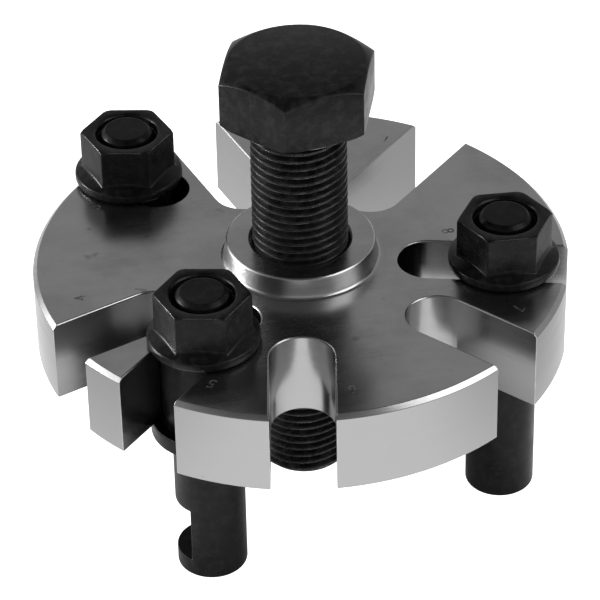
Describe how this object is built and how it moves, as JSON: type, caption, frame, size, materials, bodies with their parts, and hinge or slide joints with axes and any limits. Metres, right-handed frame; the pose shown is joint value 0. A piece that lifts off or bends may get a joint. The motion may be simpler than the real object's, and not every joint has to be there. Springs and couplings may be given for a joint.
{
  "type": "pulley puller",
  "caption": "Round slotted steel puller plate with a central hex-headed forcing screw and hooked legs clamped in the slots by flange nuts.",
  "frame": {"origin": "on the forcing screw's axis, on the plane that the ends of the legs stand on", "axes": "+Z along the forcing screw towards its head; +X and +Y across the plate, turned so that no slot cuts the rim where the plate is widest along X or Y"},
  "size_m": [0.122, 0.122, 0.1138],
  "materials": {
    "plate_steel": "ground, lightly oiled",
    "screw_black": "black oxide",
    "leg_black": "black oxide",
    "nut_black": "black oxide"
  },
  "bodies": {
    "plate": {"plate": "plate_steel"},
    "screw": {"forcing_screw": "screw_black"},
    "leg_1": {"leg_1": "leg_black"},
    "leg_2": {"leg_2": "leg_black"},
    "leg_3": {"leg_3": "leg_black"},
    "nut_1": {"flange_nut_1": "nut_black"},
    "nut_2": {"flange_nut_2": "nut_black"},
    "nut_3": {"flange_nut_3": "nut_black"}
  },
  "joints": [
    {"name": "screw_feed", "type": "slide", "parent": "plate", "child": "screw", "axis": [0, 0, 1], "range_m": [-0.0325, 0.04]},
    {"name": "leg_1_slide", "type": "slide", "parent": "plate", "child": "leg_1", "axis": [-0.6018, 0.7986, 0], "range_m": [-0.003, 0.0046]},
    {"name": "leg_2_slide", "type": "slide", "parent": "plate", "child": "leg_2", "axis": [-0.7314, -0.682, 0], "range_m": [-0.0034, 0.0183]},
    {"name": "leg_3_slide", "type": "slide", "parent": "plate", "child": "leg_3", "axis": [0.9472, -0.3206, 0], "range_m": [-0.0109, 0.0108]},
    {"name": "nut_1_spin", "type": "hinge", "parent": "leg_1", "child": "nut_1", "pos_m": [-0.03154, 0.04185, 0.0621], "axis": [0, 0, 1], "continuous": true},
    {"name": "nut_2_spin", "type": "hinge", "parent": "leg_2", "child": "nut_2", "pos_m": [-0.0283, -0.02639, 0.0621], "axis": [0, 0, 1], "continuous": true},
    {"name": "nut_3_spin", "type": "hinge", "parent": "leg_3", "child": "nut_3", "pos_m": [0.04376, -0.01481, 0.0621], "axis": [0, 0, 1], "continuous": true}
  ]
}
